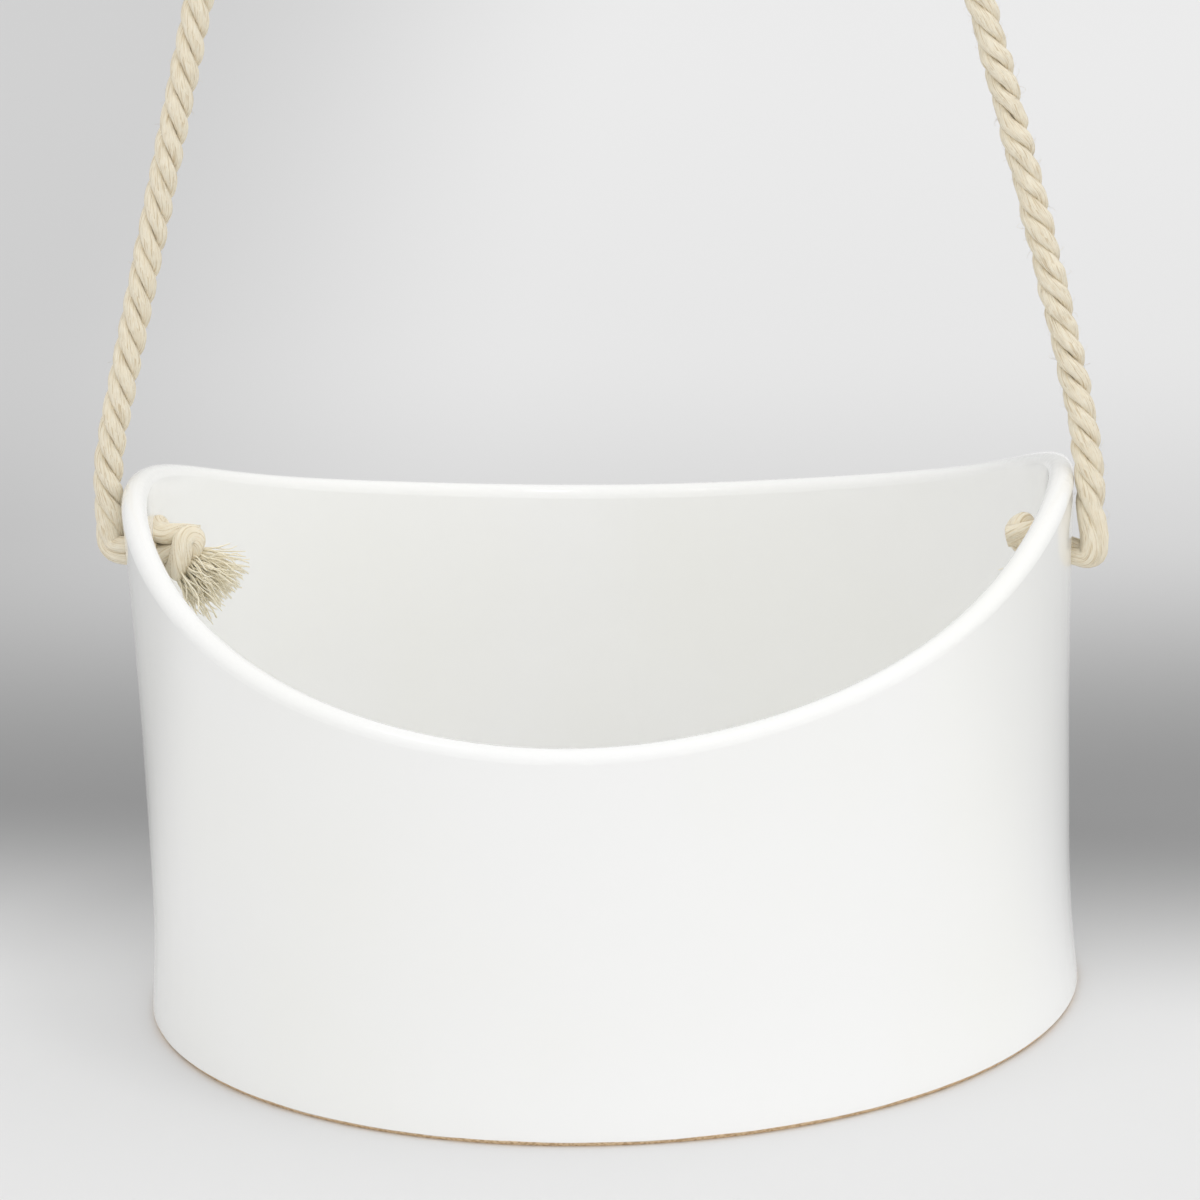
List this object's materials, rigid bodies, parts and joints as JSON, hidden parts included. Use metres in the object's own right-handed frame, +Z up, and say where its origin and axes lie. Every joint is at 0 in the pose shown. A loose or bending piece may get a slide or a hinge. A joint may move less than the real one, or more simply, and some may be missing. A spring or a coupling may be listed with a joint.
{
  "type": "hanging planter",
  "caption": "Round glazed ceramic pot with a saddle-shaped rim, hung from a twisted cotton rope knotted inside two side holes and tied into a hanging loop on top.",
  "frame": {"origin": "seat of the hanging loop, the point inside its top where a hook carries the planter", "axes": "+Z up, +X to the right through both rope holes as seen in the picture, +Y away from the viewer"},
  "size_m": [0.199, 0.1838, 0.5335],
  "materials": {
    "glazed_ceramic": "white gloss glaze, bare tan clay at the foot line",
    "cotton_rope": "natural undyed cotton, three strands, matte"
  },
  "bodies": {
    "rope_hanger": {"rope_left_leg": "cotton_rope", "rope_right_leg": "cotton_rope", "top_knot": "cotton_rope", "hanging_loop": "cotton_rope"},
    "pot": {"pot": "glazed_ceramic", "left_knot": "cotton_rope", "right_knot": "cotton_rope", "left_frayed_end": "cotton_rope", "right_frayed_end": "cotton_rope"}
  },
  "joints": [
    {"name": "pot_tilt", "type": "hinge", "parent": "rope_hanger", "child": "pot", "pos_m": [0, 0, -0.43652], "axis": [1, 0, 0], "range_deg": [-100, 100]}
  ]
}
